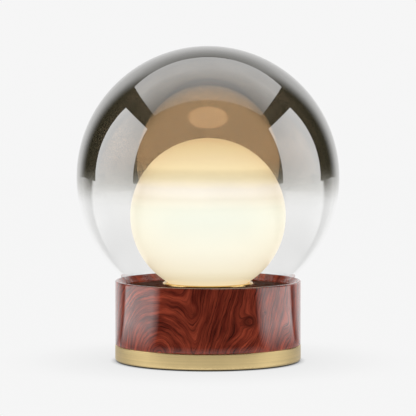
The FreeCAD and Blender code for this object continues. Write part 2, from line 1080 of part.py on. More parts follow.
def make_board_standoffs():
    """Hexagonal standoffs that hang the board under the deck."""
    body = new_body("board_standoffs")
    length = size.recess_floor - size.deck_thickness - board_high()
    thread_depth = 8
    for x, y in board_corners():
        measures = {"Polygon": 6, "Circumradius": size.standoff_corner, "Height": length}
        primitive(body, "AdditivePrism", measures, (x, y, board_high()))
        drill(body, size.m2_shank + 0.05, thread_depth, (x, y, board_high()))
    return body


def make_board_screws():
    body = new_body("board_screws")
    low = size.board_low - size.m2_head_height
    length = 6
    for x, y in board_corners():
        add_rod(body, size.m2_head, size.m2_head_height, (x, y, low))
        add_rod(body, size.m2_shank, length, (x, y, size.board_low))
        hex_socket(body, size.m2_socket, size.m2_socket_depth, (x, y, low))
    return body


def make_driver_inductor():
    """The light driver's shielded inductor, a round can on a square base."""
    body = new_body("driver_inductor")
    side, base = 11, 1
    can_radius, can_height = 5, 5
    x, y = 10.5, 9.5
    add_box(body, side, side, base, (x - side / 2, y - side / 2, board_high()))
    add_rod(body, can_radius, can_height, (x, y, board_high() + base))
    return body


def make_board_capacitors():
    body = new_body("board_capacitors")
    radius, height = 4, 9
    for y in (14, -14):
        add_rod(body, radius, height, (24, y, board_high()))
    return body


def make_board_chips():
    """The charger, the driver and the controller chips."""
    body = new_body("board_chips")
    height = 1.2
    for x, y, side in ((-6, -14, 7), (6, -12, 5), (-22, -14, 6)):
        add_box(body, side, side, height, (x, y, board_high()))
    return body


def make_board_connectors():
    """Plug sockets for the light, the battery, the charging port and the button."""
    body = new_body("board_connectors")
    height = 6
    add_box(body, 8, 8, height, (-20, -4, board_high()))
    add_box(body, 6, 10, height, (28, -5, board_high()))
    add_box(body, 9, 6, height, (size.control_offset - 4.5, 21, board_high()))
    add_box(body, 6, 6, height, (size.control_offset * -1 - 3, 21, board_high()))
    return body


# ---------------------------------------------------------------- controls in the back


def carve_panel_face(body, radius):
    """Turns away what stands outside this radius."""
    low = size.panel_height - size.panel_width
    high = size.panel_height + size.panel_width
    far = size.base_radius + 20
    groove = [(radius, low), (far, low), (far, high), (radius, high)]
    revolve(body, groove, "PartDesign::Groove")


def make_rear_panel():
    """A brass plate, curved to the collar, with openings for the button, the light and the socket."""
    body = new_body("rear_panel")
    front = size.base_radius + 4
    slot_prism(body, "Pad", size.rebate_floor, front, size.panel_length, size.panel_width)
    carve_panel_face(body, size.panel_radius)
    inner = size.panel_radius - size.panel_thickness
    drill(body, inner, size.panel_width * 2, (0, 0, size.panel_height - size.panel_width))
    back = size.rebate_floor
    at = (size.control_offset * -1, back, size.panel_height)
    drill(body, size.button_radius + size.button_gap, 20, at, TOWARDS_BACK)
    drill(body, size.light_radius + 0.15, 20, (0, back, size.panel_height), TOWARDS_BACK)
    gap = size.usb_gap * 2
    slot_prism(
        body,
        "Pocket",
        back,
        front,
        size.usb_length + gap,
        size.usb_width + gap,
        size.control_offset,
    )
    return body


def usb_board_high():
    return size.panel_height - size.usb_width / 2


def cavity_front():
    return size.rebate_floor + 1.5


def make_port_carrier():
    """The black housing behind the rear panel, with a flange that screws to the wood."""
    body = new_body("port_carrier")
    back = size.carrier_back
    beyond = size.base_radius + 4
    slot_prism(body, "Pad", size.rebate_floor, beyond, size.panel_length, size.panel_width)
    carve_panel_face(body, size.panel_radius - size.panel_thickness - 0.05)
    slot_prism(body, "Pad", back, size.rebate_floor, size.carrier_length, size.carrier_width)
    height = size.panel_height
    x = size.control_offset
    drill(body, size.button_well, 25, (x * -1, size.well_back, height), TOWARDS_BACK)
    drill(body, size.lead_passage, size.well_back - back, (x * -1, back, height), TOWARDS_BACK)
    board_low = usb_board_high() - size.usb_board_thickness
    at = (size.usb_board_left - 0.4, back, board_low)
    cut_box(body, size.usb_board_length + 1.2, cavity_front() - back, 6, at)
    gap = size.usb_gap * 2
    length, width = size.usb_length + gap, size.usb_width + gap
    slot_prism(body, "Pocket", cavity_front() - 0.5, beyond, length, width, x)
    drill(body, size.light_radius + 0.1, 20, (0, cavity_front() - 0.5, height), TOWARDS_BACK)
    for side in (1, -1):
        hole = (size.carrier_screw * side, size.rebate_floor, height)
        drill(body, size.m2_shank + 0.2, 4, hole, TOWARDS_BACK)
        head = (size.carrier_screw * side, size.carrier_screw_seat, height)
        drill(body, size.m2_head + size.screw_gap, 10, head, TOWARDS_BACK)
    return body


def make_carrier_screws():
    body = new_body("carrier_screws")
    seat = size.carrier_screw_seat
    head = size.m2_head_height
    length = 9
    depth = size.m2_socket_depth
    height = size.panel_height
    for side in (1, -1):
        x = size.carrier_screw * side
        add_rod(body, size.m2_shank, length, (x, seat - length, height), TOWARDS_BACK)
        add_rod(body, size.m2_head, head, (x, seat, height), TOWARDS_BACK)
        hex_socket(body, size.m2_socket, depth, (x, seat + head - depth, height), TOWARDS_BACK)
    return body


def turned_along_y(label, x, corners):
    """A piece turned about a line along Y at the rear panel's height. A corner is (radius, y)."""
    body = new_body(label)
    sketch = body.newObject("Sketcher::SketchObject", "Sketch")
    sketch.AttachmentSupport = [(origin_feature(body, "XY_Plane"), "")]
    sketch.MapMode = "FlatFace"
    sketch.AttachmentOffset = FreeCAD.Placement(
        Vector(value_of(x), 0, size.panel_height.value), UPRIGHT
    )
    bind(sketch, "AttachmentOffset.Base.x", x)
    bind(sketch, "AttachmentOffset.Base.z", size.panel_height)
    draw_outline(sketch, corners)
    feature = body.newObject("PartDesign::Revolution", "Revolution")
    feature.Profile = sketch
    feature.ReferenceAxis = (sketch, ["V_Axis"])
    feature.Angle = 360
    doc.recompute()
    return body


def make_power_button():
    """A brass push button with a retaining flange and a stem."""
    edge = 0.9
    radius = size.button_radius
    return turned_along_y(
        "power_button",
        size.control_offset * -1,
        [
            (0, size.button_stem_back),
            (size.button_stem, size.button_stem_back),
            (size.button_stem, size.button_flange_back),
            (size.button_flange, size.button_flange_back),
            (size.button_flange, size.button_flange_front),
            (radius, size.button_flange_front),
            (radius, size.button_face - edge),
            (radius - edge, size.button_face, edge, 1),
            (0, size.button_face),
        ],
    )


def make_switch_board():
    body = new_body("switch_board")
    at = (size.control_offset * -1, size.well_back, size.panel_height)
    add_rod(body, size.button_well - 0.2, size.switch_board_thickness, at, TOWARDS_BACK)
    return body


def switch_back():
    return size.well_back + size.switch_board_thickness


def make_tact_switch():
    """The small momentary switch that the button's stem presses."""
    body = new_body("tact_switch")
    side = size.switch_side
    x = size.control_offset * -1
    corner = (x - side / 2, switch_back(), size.panel_height - side / 2)
    add_box(body, side, size.switch_depth, side, corner)
    front = switch_back() + size.switch_depth
    plunger_radius, plunger_length = 1.6, 1.5
    add_rod(body, plunger_radius, plunger_length, (x, front, size.panel_height), TOWARDS_BACK)
    return body


def make_button_spring():
    """A round wire spring between the switch board and the button's flange."""
    helix = doc.addObject("Part::Helix", "SpringHelix")
    start = switch_back() + size.spring_wire + 0.05
    length = size.button_flange_back - start - size.spring_wire - 0.15
    pitch = length / size.spring_turns
    for name, amount in (("Radius", size.spring_radius), ("Height", length), ("Pitch", pitch)):
        setattr(helix, name, value_of(amount))
        bind(helix, name, amount)
    profile = doc.addObject("Part::Circle", "SpringSection")
    profile.Radius = size.spring_wire.value
    bind(profile, "Radius", size.spring_wire)
    profile.Placement = FreeCAD.Placement(
        Vector(size.spring_radius.value, 0, 0), FreeCAD.Rotation(Vector(1, 0, 0), 90)
    )
    bind(profile, "Placement.Base.x", size.spring_radius)
    doc.recompute()
    spring = doc.addObject("Part::Sweep", "ButtonSpring")
    spring.Sections = [profile]
    spring.Spine = (helix, [f"Edge{i + 1}" for i in range(len(helix.Shape.Edges))])
    spring.Solid = True
    spring.Frenet = True
    spring.Label = "button_spring"
    place = Vector(-size.control_offset.value, start.value, size.panel_height.value)
    spring.Placement = FreeCAD.Placement(place, TOWARDS_BACK)
    bind(spring, "Placement.Base.x", size.control_offset * -1)
    bind(spring, "Placement.Base.y", start)
    bind(spring, "Placement.Base.z", size.panel_height)
    subparts.append(spring)
    doc.recompute()
    return spring


def make_charge_light():
    """The clear light pipe that shows the charge."""
    body = new_body("charge_light")
    back = cavity_front() - 0.6
    length = size.panel_radius - 0.1 - back
    add_rod(body, size.light_radius, length, (0, back, size.panel_height), TOWARDS_BACK)
    return body


def make_usb_socket():
    """The steel shell of the charging socket."""
    body = new_body("usb_socket")
    x = size.control_offset
    wall = size.usb_wall * 2
    slot_prism(body, "Pad", size.usb_back, size.usb_front, size.usb_length, size.usb_width, x)
    inner_back = size.usb_back + size.usb_floor
    length, width = size.usb_length - wall, size.usb_width - wall
    slot_prism(body, "Pocket", inner_back, size.usb_front + 1, length, width, x)
    return body


def make_usb_tongue():
    """The contact tongue inside the socket."""
    body = new_body("usb_tongue")
    back = size.usb_back + size.usb_floor
    length, thickness = 6.6, 0.7
    x = size.control_offset - length / 2
    corner = (x, back, size.panel_height - thickness / 2)
    add_box(body, length, size.usb_front - 1.2 - back, thickness, corner)
    return body


def make_usb_board():
    body = new_body("usb_board")
    start = size.carrier_back + 4
    thickness = size.usb_board_thickness
    width = cavity_front() - 0.3 - start
    at = (size.usb_board_left, start, usb_board_high() - thickness)
    add_box(body, size.usb_board_length, width, thickness, at)
    return body


def make_charge_led():
    """The lamp that lights the charge light."""
    body = new_body("charge_led")
    width, depth, height = 2, 1.8, 2.6
    add_box(body, width, depth, height, (width / -2, cavity_front() - 2.6, usb_board_high()))
    return body


# ---------------------------------------------------------------- leads


def rounded_path(points):
    """A wire of straight runs joined by tangent arcs, each as large as its two runs allow."""
    edges = []
    start = points[0]
    for before, corner, after in zip(points, points[1:], points[2:]):
        into, out = corner - before, after - corner
        shorter = min(into.Length, out.Length)
        turn = into.getAngle(out)
        tangent = 0.45 * shorter
        into.normalize()
        out.normalize()
        enter, leave = corner - into * tangent, corner + out * tangent
        radius = tangent / math.tan(turn / 2)
        towards_centre = (out - into).normalize()
        middle = corner + towards_centre * (radius / math.cos(turn / 2) - radius)
        edges.append(Part.LineSegment(start, enter).toShape())
        edges.append(Part.Arc(enter, middle, leave).toShape())
        start = leave
    edges.append(Part.LineSegment(start, points[-1]).toShape())
    return Part.Wire(edges)


def lead_solid(points, radius):
    """A round lead along a rounded path, checked against its section times its length."""
    points = [Vector(*[value_of(c) for c in p]) for p in points]
    path = rounded_path(points)
    section = Part.Wire(Part.Circle(points[0], points[1] - points[0], radius).toShape())
    solid = path.makePipeShell([section], True, False)
    expected = math.pi * radius**2 * path.Length
    if abs(solid.Volume - expected) > 0.02 * expected:
        raise RuntimeError("a lead's volume doesn't match its section and length")
    return solid


def add_leads(label, solids):
    """Leads are swept along free paths, so they are set as shapes."""
    leads = doc.addObject("Part::Feature", "Leads_" + label)
    leads.Label = label
    leads.Shape = solids[0] if len(solids) == 1 else Part.makeCompound(solids)
    leads.Placement = FreeCAD.Placement()
    subparts.append(leads)


def make_light_lead(label, side):
    """One lead from the board up through the grommet and the post to the light source."""
    y = 1.05 * side
    high = board_high() + size.lead_rise
    end = size.post_head_high + size.led_board_thickness - 0.2
    route = [(-12, y, high), (0, y, high), (0, y, end)]
    add_leads(label, [lead_solid(route, size.power_lead.value)])


def make_battery_lead(label, side):
    """One lead from the cells' end strip, round the edge of the board, to its connector."""
    tab = size.cell_length / 2 + 0.35
    low = cell_height() + 4
    high = board_high() + size.lead_rise
    out = 41
    route = [
        (tab, 22 * side, low),
        (out, 22 * side, low),
        (out, 22 * side, high),
        (out, 3 * side, high),
        (34, 3 * side, high),
    ]
    add_leads(label, [lead_solid(route, size.power_lead.value)])


def make_port_leads():
    """Four thin leads from the charging socket's board to the control board."""
    low = usb_board_high() + 0.6
    high = board_high() + size.lead_rise
    solids = []
    for i in range(4):
        x = size.control_offset + (i - 1.5) * 1.6
        route = [
            (x, size.carrier_back + 4.5, low),
            (x, size.carrier_back - 12, low),
            (x, 38, high),
            (x, 27, high),
        ]
        solids.append(lead_solid(route, size.signal_lead.value))
    add_leads("port_leads", solids)


def make_switch_leads():
    """Two thin leads from the button's switch to the control board."""
    high = board_high() + size.lead_rise
    solids = []
    for i in range(2):
        x = size.control_offset * -1 + (i - 0.5) * 1.6
        route = [
            (x, size.well_back, size.panel_height),
            (x, size.carrier_back - 12, size.panel_height),
            (x, 38, high),
            (x, 27, high),
        ]
        solids.append(lead_solid(route, size.signal_lead.value))
    add_leads("switch_leads", solids)


# ---------------------------------------------------------------- the whole lamp


def make_lamp():
    make_smoked_globe()
    make_opal_globe()
    make_foot_pad()
    make_foot_pan()
    make_foot_screws()
    make_wood_inserts()
    make_wood_collar()
    make_deck_plate()
    make_deck_screws()
    make_globe_gasket()
    make_gallery_ring()
    make_gallery_sleeve()
    make_deck_grommet()
    make_led_post()
    make_post_screws()
    make_led_board()
    make_led_chips()
    make_led_dome()
    make_battery_tray()
    make_battery_cells()
    make_battery_tabs()
    make_battery_clamp()
    make_clamp_screws()
    make_control_board()
    make_board_standoffs()
    make_board_screws()
    make_driver_inductor()
    make_board_capacitors()
    make_board_chips()
    make_board_connectors()
    make_rear_panel()
    make_port_carrier()
    make_carrier_screws()
    make_power_button()
    make_switch_board()
    make_tact_switch()
    make_button_spring()
    make_charge_light()
    make_usb_socket()
    make_usb_tongue()
    make_usb_board()
    make_charge_led()
    make_light_lead("light_lead_red", 1)
    make_light_lead("light_lead_black", -1)
    make_battery_lead("battery_lead_red", 1)
    make_battery_lead("battery_lead_black", -1)
    make_port_leads()
    make_switch_leads()


def check_document():
    """Stops before anything is written if a feature failed or a sub-part isn't a sound solid."""
    doc.recompute()
    for thing in doc.Objects:
        if {"Invalid", "Error"} & set(thing.State):
            raise RuntimeError(f"{thing.Name} failed: {thing.State}")
    for part in subparts:
        shape = part.Shape
        if shape.isNull() or not shape.isValid() or not shape.Solids:
            raise RuntimeError(f"{part.Label} has no valid shape")


def write_parts():
    os.makedirs("parts", exist_ok=True)
    for old in os.listdir("parts"):
        os.remove(os.path.join("parts", old))
    for part in subparts:
        part.Shape.exportStep(os.path.join("parts", part.Label + ".step"))
        box = part.Shape.BoundBox
        print(
            f"{part.Label:20s} {len(part.Shape.Solids)} solids {part.Shape.Volume / 1000:8.2f} cm3"
            f"  z {box.ZMin:.2f} to {box.ZMax:.2f}"
        )


make_lamp()
check_document()
write_parts()
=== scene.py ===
"""Globe table lamp: finishes, floor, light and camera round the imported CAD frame."""

import math

import bpy
from bpy.props import FloatProperty, FloatVectorProperty, PointerProperty
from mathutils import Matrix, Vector


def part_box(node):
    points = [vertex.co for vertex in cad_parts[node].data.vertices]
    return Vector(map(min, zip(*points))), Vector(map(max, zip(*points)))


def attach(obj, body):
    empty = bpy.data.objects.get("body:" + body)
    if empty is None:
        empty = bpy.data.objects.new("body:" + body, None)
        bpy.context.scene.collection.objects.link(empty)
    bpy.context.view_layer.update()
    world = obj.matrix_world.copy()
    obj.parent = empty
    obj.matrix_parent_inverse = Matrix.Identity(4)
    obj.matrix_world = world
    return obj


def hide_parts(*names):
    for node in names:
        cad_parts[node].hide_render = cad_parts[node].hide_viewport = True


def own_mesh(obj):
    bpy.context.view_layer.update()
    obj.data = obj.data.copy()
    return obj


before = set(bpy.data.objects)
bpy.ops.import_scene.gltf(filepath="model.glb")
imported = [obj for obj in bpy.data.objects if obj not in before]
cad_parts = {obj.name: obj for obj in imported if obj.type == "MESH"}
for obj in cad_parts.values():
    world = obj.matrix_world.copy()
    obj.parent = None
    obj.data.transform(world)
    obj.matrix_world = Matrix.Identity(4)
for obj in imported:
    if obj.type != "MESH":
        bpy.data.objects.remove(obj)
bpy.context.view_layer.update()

bl_info = {
    "name": "Globe Table Lamp",
    "version": (1, 0, 0),
    "blender": (4, 5, 0),
    "location": "3D View > Sidebar > Lamp",
    "description": "Dresses the packed globe table lamp and sets up its floor, light and camera",
    "category": "Object",
}

GLOBE_LOW, GLOBE_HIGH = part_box("smoked_globe")
GLOBE_RADIUS = (GLOBE_HIGH[0] - GLOBE_LOW[0]) / 2
GLOBE_CENTRE = Vector((0, 0, GLOBE_HIGH[2] - GLOBE_RADIUS))
COLLAR_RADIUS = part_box("wood_collar")[1][0]


# ---------------------------------------------------------------- settings


def colour(name, description, default):
    """A colour setting, in linear light."""
    return FloatVectorProperty(
        name=name, description=description, default=default, size=3, min=0, max=1, subtype="COLOR"
    )


def length(name, description, default):
    """A length setting, in metres."""
    return FloatProperty(
        name=name, description=description, default=default, unit="LENGTH", subtype="DISTANCE"
    )


def share(name, description, default):
    """A setting from nothing to all."""
    return FloatProperty(
        name=name, description=description, default=default, min=0, max=1, subtype="FACTOR"
    )


def amount(name, description, default):
    """A plain number of nothing or more."""
    return FloatProperty(name=name, description=description, default=default, min=0)


def angle(name, description, default):
    """An angle round the lamp, from its front towards its right."""
    return FloatProperty(
        name=name, description=description, default=math.radians(default), unit="ROTATION", subtype="ANGLE"
    )


class SmokedGlassSettings(bpy.types.PropertyGroup):
    """The smoke coat on the outer globe."""

    smoke: colour("Smoke", "Light let through one wall where the coat is full", (0.2, 0.187, 0.145))
    clear: colour("Clear glass", "Light let through one wall where there is no coat", (0.973, 0.973, 0.971))
    fade_low: length("Fade starts", "Height where the coat begins", 0.148)
    fade_high: length("Fade ends", "Height where the coat is full", 0.188)
    mirror: share("Mirror", "Light that the full coat throws back", 0.26)
    inner_mirror: share("Inner mirror", "Light that the coat throws back inside the globe", 0.32)
    inner_tone: colour("Inner tone", "Tone of what the coat mirrors inside", (1.0, 0.75, 0.63))


class OpalGlassSettings(bpy.types.PropertyGroup):
    """The lit inner globe."""

    glow: amount("Glow", "Strength of the brightest part", 5.31)
    roughness: share("Roughness", "How satin the etched skin is", 0.35)


class WoodSettings(bpy.types.PropertyGroup):
    """The lacquered collar."""

    light: colour("Light wood", "Colour of the palest figure", (0.62, 0.100, 0.047))
    deep: colour("Deep wood", "Colour of the darker figure", (0.19, 0.022, 0.011))
    vein: colour("Vein", "Colour of the dark growth lines", (0.022, 0.004, 0.002))
    spacing: length("Growth spacing", "Distance between growth lines", 0.00368)
    arch: angle("Arch angle", "Where the arched figure stands", -31)
    arch_height: length("Arch height", "Foot of the arched figure", 0.018)
    knot: angle("Knot angle", "Where the large knot sits", 25.8)
    knot_height: length("Knot height", "Height of the large knot", 0.0467)
    lacquer_gloss: FloatProperty(name="Lacquer", description="Refraction of the lacquer", default=1.75, min=1)


class BrassSettings(bpy.types.PropertyGroup):
    """The brushed foot and the polished ring."""

    brushed: colour("Brushed brass", "Colour of the foot", (0.86, 0.66, 0.325))
    polished: colour("Polished brass", "Colour of the ring under the inner globe", (0.86, 0.6, 0.25))
    roughness: share("Brushing", "Roughness of the brushed foot", 0.34)


class StageSettings(bpy.types.PropertyGroup):
    """Floor, softboxes and camera."""

    paper: amount("Paper", "Brightness of the floor and surroundings", 0.92)
    side_light: amount("Side softboxes", "Brightness of the softboxes beside the lamp", 1.8)
    top_light: amount("Top softbox", "Brightness of the softbox over the lamp", 1.25)
    reach: length("Softbox distance", "From the globe to each softbox", 1.1)
    camera_distance: length("Camera distance", "From the lamp's axis to the camera", 2.87)
    camera_height: length("Camera height", "Height of the camera over the floor", 0.3427)
    aim_height: length("Aim height", "Height that the camera looks at", 0.1458)
    lens: FloatProperty(name="Lens", description="Focal length in millimetres", default=261.6, min=1)


class LampSettings(bpy.types.PropertyGroup):
    """All the lamp's settings."""

    glass: PointerProperty(type=SmokedGlassSettings)
    opal: PointerProperty(type=OpalGlassSettings)
    wood: PointerProperty(type=WoodSettings)
    brass: PointerProperty(type=BrassSettings)
    stage: PointerProperty(type=StageSettings)


# ---------------------------------------------------------------- mixing finishes


class Finish:
    """A finish being mixed: its nodes, and short ways to add and join them."""

    def __init__(self, name, world=None):
        self.owner = world or bpy.data.materials.new(name)
        self.owner.use_nodes = True
        self.tree = self.owner.node_tree
        self.tree.nodes.clear()
        self.output = self.add("ShaderNodeOutputWorld" if world else "ShaderNodeOutputMaterial")
        self.place = self.add("ShaderNodeTexCoord").outputs["Generated" if world else "Object"]

    def add(self, kind, inputs=None, **settings):
        """A node of this kind, with its inputs joined or set."""
        node = self.tree.nodes.new(kind)
        for key, value in settings.items():
            setattr(node, key, value)
        for key, value in (inputs or {}).items():
            self.feed(node.inputs[key], value)
        return node

    def feed(self, socket, value):
        """Joins a socket to another, or sets its value."""
        if isinstance(value, bpy.types.NodeSocket):
            self.tree.links.new(value, socket)
        elif socket.type == "RGBA":
            socket.default_value = (*tuple(value)[:3], 1.0)
        else:
            socket.default_value = value

    def math(self, operation, a, b=0.0, add=0.0, clamp=False):
        node = self.add("ShaderNodeMath", {0: a, 1: b, 2: add}, operation=operation, use_clamp=clamp)
        return node.outputs[0]

    def plus(self, a, b, clamp=False):
        return self.math("ADD", a, b, clamp=clamp)

    def minus(self, a, b, clamp=False):
        return self.math("SUBTRACT", a, b, clamp=clamp)

    def times(self, a, b, clamp=False):
        return self.math("MULTIPLY", a, b, clamp=clamp)

    def over(self, a, b):
        return self.math("DIVIDE", a, b)

    def vector(self, operation, a, b=(0, 0, 0), scale=1.0):
        node = self.add("ShaderNodeVectorMath", {0: a, 1: b, 3: scale}, operation=operation)
        return node.outputs["Value" if operation == "LENGTH" else "Vector"]

    def axes(self, vector):
        return self.add("ShaderNodeSeparateXYZ", {0: vector}).outputs

    def point(self, x, y, z=0.0):
        return self.add("ShaderNodeCombineXYZ", {0: x, 1: y, 2: z}).outputs[0]

    def noise(self, vector, scale, detail=3.0, roughness=0.55):
        inputs = {"Vector": vector, "Scale": scale, "Detail": detail, "Roughness": roughness}
        return self.add("ShaderNodeTexNoise", inputs).outputs[0]

    def spread(self, value, low, high, to_low=0.0, to_high=1.0, smooth=False):
        """Carries a value from the range low to high over to the range to_low to to_high."""
        inputs = {0: value, 1: low, 2: high, 3: to_low, 4: to_high}
        kind = "SMOOTHSTEP" if smooth else "LINEAR"
        return self.add("ShaderNodeMapRange", inputs, interpolation_type=kind).outputs[0]

    def blend(self, factor, a, b):
        return self.add("ShaderNodeMix", {0: factor, 6: a, 7: b}, data_type="RGBA").outputs[2]

    def ramp(self, factor, stops):
        """A run of tones, each at its place from 0 to 1."""
        node = self.add("ShaderNodeValToRGB", {0: factor})
        points = node.color_ramp.elements
        for index, (where, tone) in enumerate(stops):
            point = points[index] if index < 2 else points.new(where)
            point.position, point.color = where, (*tone, 1.0)
        return node.outputs[0]

    def stretched(self, x, y, z):
        return self.vector("MULTIPLY", self.place, (x, y, z))

    def bump(self, height, strength, depth):
        inputs = {"Height": height, "Strength": strength, "Distance": depth}
        return self.add("ShaderNodeBump", inputs).outputs[0]

    def mixed(self, factor, a, b):
        return self.add("ShaderNodeMixShader", {0: factor, 1: a, 2: b}).outputs[0]

    def clear(self, tone=(1, 1, 1)):
        return self.add("ShaderNodeBsdfTransparent", {"Color": tone}).outputs[0]

    def glowing(self, strength, tone=(1, 1, 1)):
        return self.add("ShaderNodeEmission", {"Color": tone, "Strength": strength}).outputs[0]

    def principled(self, **inputs):
        """A solid finish, with inputs such as base_color and coat_ior."""
        named = {key.replace("_", " ").title().replace("Ior", "IOR"): value for key, value in inputs.items()}
        return self.add("ShaderNodeBsdfPrincipled", named).outputs[0]

    def done(self, shader):
        self.feed(self.output.inputs["Surface"], shader)
        return self.owner


def darker(tone, by):
    """The same tone, with this share of its light."""
    return tuple(c * by for c in tone)


def wear(node_name, material):
    """Gives a CAD node its finish."""
    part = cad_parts[node_name]
    if not part.material_slots:
        part.data.materials.append(material)
    for place in part.material_slots:
        place.link = "OBJECT"
        place.material = material


def dress(material, *node_names):
    """Gives several CAD nodes one finish."""
    for node_name in node_names:
        wear(node_name, material)


# ---------------------------------------------------------------- glass


HALF_WALL = 0.0013  # tells the coated outer face from the bare inner one
EDGE_DRIFT = 0.004  # how far the coat's lower edge wanders
STRAIGHT_GLOSS = 0.014  # what clear glass mirrors seen straight on
INNER_FADE = (0.36, 0.6)  # how slanting a view fades the mirror inside the globe
INNER_LEAN = (-1.1, -1.1, -1.0)  # leans that mirror up a little, which lifts what it shows
# painted highlight: a spot high on the back wall where the coat mirrors more, which brightens the inner
# globe's mirror image there: height over the globe's centre, half sizes and flat foot
PAINTED_GLINT_HEIGHT, PAINTED_GLINT_WIDE, PAINTED_GLINT_TALL, PAINTED_GLINT_FOOT = 0.0526, 0.0205, 0.0118, (0.0405, 0.043)
# how much more the coat mirrors in the painted highlight spot
PAINTED_GLINT_GAIN = 1.65
SHADOW_TINT = (0.93, 0.93, 0.92)


def painted_glint(f, x, y, z):
    """How much more the coat mirrors in the painted highlight spot than round it."""
    across = f.over(x, PAINTED_GLINT_WIDE)
    reach = f.vector("LENGTH", f.point(across, f.over(f.minus(z, PAINTED_GLINT_HEIGHT), PAINTED_GLINT_TALL)))
    gain = f.spread(reach, 0.82, 1.06, PAINTED_GLINT_GAIN, 1.0, smooth=True)
    flat = f.times(f.spread(z, *PAINTED_GLINT_FOOT, smooth=True), f.math("GREATER_THAN", y, 0.0))
    return f.plus(f.times(f.minus(gain, 1.0), flat), 1.0)


def smoked_glass(look):
    """Clear glass with a smoke coat that is full over the globe and fades out below its middle."""
    f = Finish("smoked_glass")
    from_centre = f.vector("SUBTRACT", f.place, tuple(GLOBE_CENTRE))
    outside = f.math("GREATER_THAN", f.vector("LENGTH", from_centre), GLOBE_RADIUS - HALF_WALL)
    drift = f.times(f.noise(f.place, 7.0, detail=1.0), EDGE_DRIFT)
    height = f.plus(f.axes(f.place)[2], f.minus(drift, EDGE_DRIFT / 2))
    density = f.spread(height, look.fade_low, look.fade_high, smooth=True)
    coat = f.times(density, outside)
    inside = f.add("ShaderNodeNewGeometry").outputs["Backfacing"]
    facing = f.add("ShaderNodeLayerWeight", {"Blend": 0.5}).outputs["Facing"]
    within = f.times(f.spread(facing, *INNER_FADE, 1.0, 0.0), look.inner_mirror)
    # painted highlight: the inner mirror is raised in a fixed spot high on the back wall
    within = f.times(within, painted_glint(f, *f.axes(from_centre)))
    thrown = f.add("ShaderNodeMix", {0: inside, 2: look.mirror, 3: within}, data_type="FLOAT").outputs[0]
    coat_mirror = f.times(coat, thrown)
    skin = f.times(outside, f.minus(1.0, inside))
    gloss = f.math("MULTIPLY_ADD", f.math("POWER", facing, 5.0), skin, add=STRAIGHT_GLOSS)
    left = f.minus(1.0, coat_mirror)
    mirror = f.plus(coat_mirror, f.times(left, gloss))
    tint = f.blend(coat, look.clear, look.smoke)
    tint = f.vector("SCALE", tint, scale=f.over(1.0, left))
    coated_inside = f.times(inside, coat)
    tone = f.blend(coated_inside, (1, 1, 1), look.inner_tone)
    smear = f.spread(f.noise(f.place, 40.0, detail=4.0), 0.35, 0.75, 0.0, 0.012)
    ripple = f.bump(f.noise(f.place, 12.0, detail=1.0), 0.02, 0.001)
    inward = f.vector("NORMALIZE", f.vector("MULTIPLY", from_centre, INNER_LEAN))
    lean = f.add("ShaderNodeMix", {0: coated_inside, 4: ripple, 5: inward}, data_type="VECTOR").outputs[1]
    shine = f.add("ShaderNodeBsdfAnisotropic", {"Color": tone, "Roughness": smear, "Normal": lean}).outputs[0]
    shadow = f.add("ShaderNodeLightPath").outputs["Is Shadow Ray"]
    return f.done(f.mixed(shadow, f.mixed(mirror, f.clear(tint), shine), f.clear(SHADOW_TINT)))


# the inner globe's light at each height over the floor, stronger where the smoke coat stands before it
OPAL_TONES = (
    (0.0600, (0.91, 0.75, 0.49)),
    (0.0775, (0.97, 0.95, 0.75)),
    (0.0900, (1.02, 1.05, 0.94)),
    (0.1000, (1.03, 1.08, 1.01)),
    (0.1390, (1.03, 1.16, 1.15)),
    (0.1486, (1.04, 1.16, 1.14)),
    (0.1582, (1.30, 1.36, 1.32)),
    (0.1676, (2.04, 2.13, 2.24)),
    (0.1769, (3.40, 3.39, 3.03)),
    (0.1860, (5.31, 5.20, 4.72)),
    (0.1950, (4.93, 4.68, 4.18)),
    (0.2036, (4.59, 4.32, 3.60)),
    (0.2124, (4.15, 3.63, 2.92)),
)
CLOUD_DRIFT = 0.004  # how far that light wanders up and down
BACK_SHIFT = 0.018  # how much lower the same light sits on the back of the inner globe
ETCH = 0.05  # how far the etched skin's roughness varies


def opal_glass(look):
    """Satin opal glass, lit from within: brightest over its middle, warmer towards the ring."""
    f = Finish("opal_glass")
    _, y, height = f.axes(f.place)
    cloud = f.times(f.noise(f.place, 14.0, detail=2.0), CLOUD_DRIFT)
    low, high = OPAL_TONES[0][0], OPAL_TONES[-1][0]
    height = f.plus(height, f.spread(y, 0.02, 0.06, 0.0, BACK_SHIFT, smooth=True))
    level = f.spread(f.plus(height, f.minus(cloud, CLOUD_DRIFT / 2)), low, high)
    most = max(max(tone) for _, tone in OPAL_TONES)
    stops = [((up - low) / (high - low), tuple(c / most for c in tone)) for up, tone in OPAL_TONES]
    light = f.ramp(level, stops)
    etched = f.noise(f.place, 900.0, detail=2.0)
    skin = f.spread(etched, 0.3, 0.7, look.roughness - ETCH, look.roughness + ETCH)
    grit = f.bump(f.noise(f.place, 1800.0, detail=2.0), 0.04, 0.0002)
    return f.done(
        f.principled(
            base_color=(0.12, 0.115, 0.105),
            roughness=skin,
            emission_color=light,
            emission_strength=look.glow,
            coat_weight=1.0,
            coat_roughness=0.3,
            coat_ior=1.25,
            coat_tint=(0.95, 0.865, 0.76),
            specular_ior_level=0.1,
            normal=grit,
        )
    )


# ---------------------------------------------------------------- wood


def hump(f, across, up, at, wide, tall, size):
    """A rise in the growth lines round one spot, which closes them into rings there."""
    over = f.over(f.minus(across, at[0]), wide)
    above = f.over(f.minus(up, at[1]), tall)
    squares = f.plus(f.times(over, over), f.times(above, above))
    return f.times(f.math("EXPONENT", f.times(squares, -1.0)), size)


def on_wall(turn, height):
    """A spot on the collar's wall, in millimetres round from the front and millimetres up."""
    return turn * COLLAR_RADIUS * 1000, height * 1000


